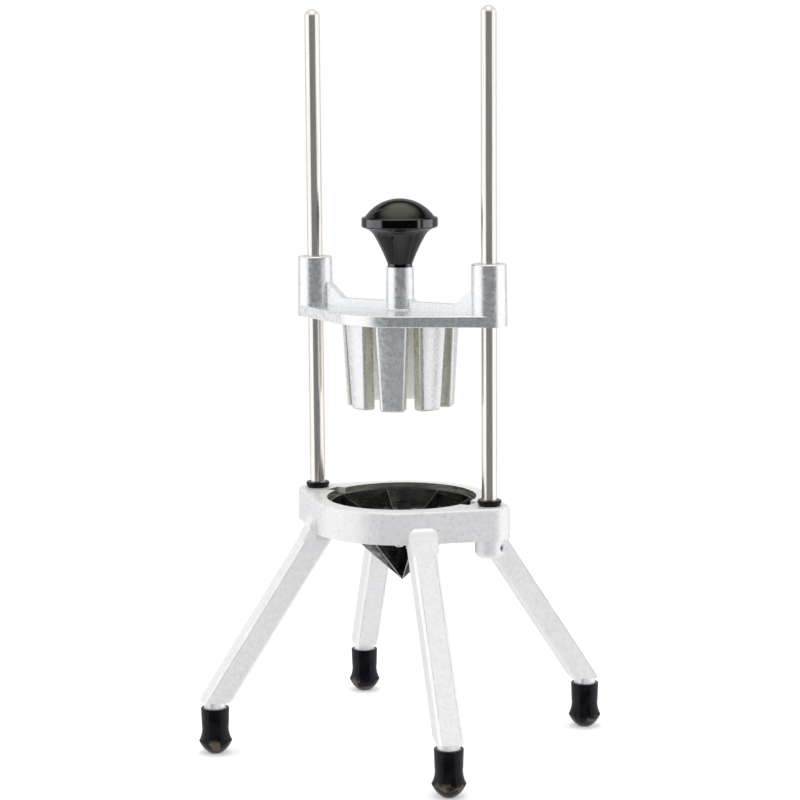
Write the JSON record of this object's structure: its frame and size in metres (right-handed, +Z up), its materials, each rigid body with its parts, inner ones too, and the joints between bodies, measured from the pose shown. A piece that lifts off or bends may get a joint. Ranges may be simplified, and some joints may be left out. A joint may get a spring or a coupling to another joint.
{
  "type": "apple slicer wedger press",
  "caption": "Countertop apple slicer and wedger: a knobbed pusher slides down guide rods and drives the fruit through a ring of crossed wedge blades on a legged base.",
  "frame": {"origin": "on the floor, on the axis of the blade ring, midway between the feet", "axes": "+Z up, +X from the left guide rod to the right one, -Y to the front"},
  "size_m": [0.1918, 0.1918, 0.4601],
  "materials": {
    "cast_metal": "tumbled casting, satin",
    "finger_metal": "satin casting",
    "leg_metal": "tumbled, satin",
    "rod_steel": "ground and polished",
    "ring_steel": "satin stainless",
    "blade_steel": "ground stainless",
    "screw_steel": "stainless",
    "foot_rubber": "matt black",
    "bumper_rubber": "matt black",
    "bush_plastic": "plain acetal",
    "knob_plastic": "glossy black"
  },
  "bodies": {
    "base": {"base_casting": "cast_metal", "blade_ring": "ring_steel", "rod_set_screws": "screw_steel", "ring_screws": "screw_steel", "leg_front_left": "leg_metal", "foot_front_left": "foot_rubber", "leg_front_right": "leg_metal", "foot_front_right": "foot_rubber", "leg_rear_left": "leg_metal", "foot_rear_left": "foot_rubber", "leg_rear_right": "leg_metal", "foot_rear_right": "foot_rubber", "guide_rod_left": "rod_steel", "rod_bumper_left": "bumper_rubber", "guide_rod_right": "rod_steel", "rod_bumper_right": "bumper_rubber", "blade_1": "blade_steel", "blade_2": "blade_steel", "blade_3": "blade_steel", "blade_4": "blade_steel"},
    "pusher": {"pusher_casting": "cast_metal", "guide_bush_left": "bush_plastic", "guide_bush_right": "bush_plastic", "finger_block": "finger_metal", "finger_block_screws": "screw_steel", "knob": "knob_plastic", "knob_stud": "screw_steel"}
  },
  "joints": [
    {"name": "pusher_slide", "type": "slide", "parent": "base", "child": "pusher", "axis": [0, 0, 1], "range_m": [-0.107, 0.15]}
  ]
}
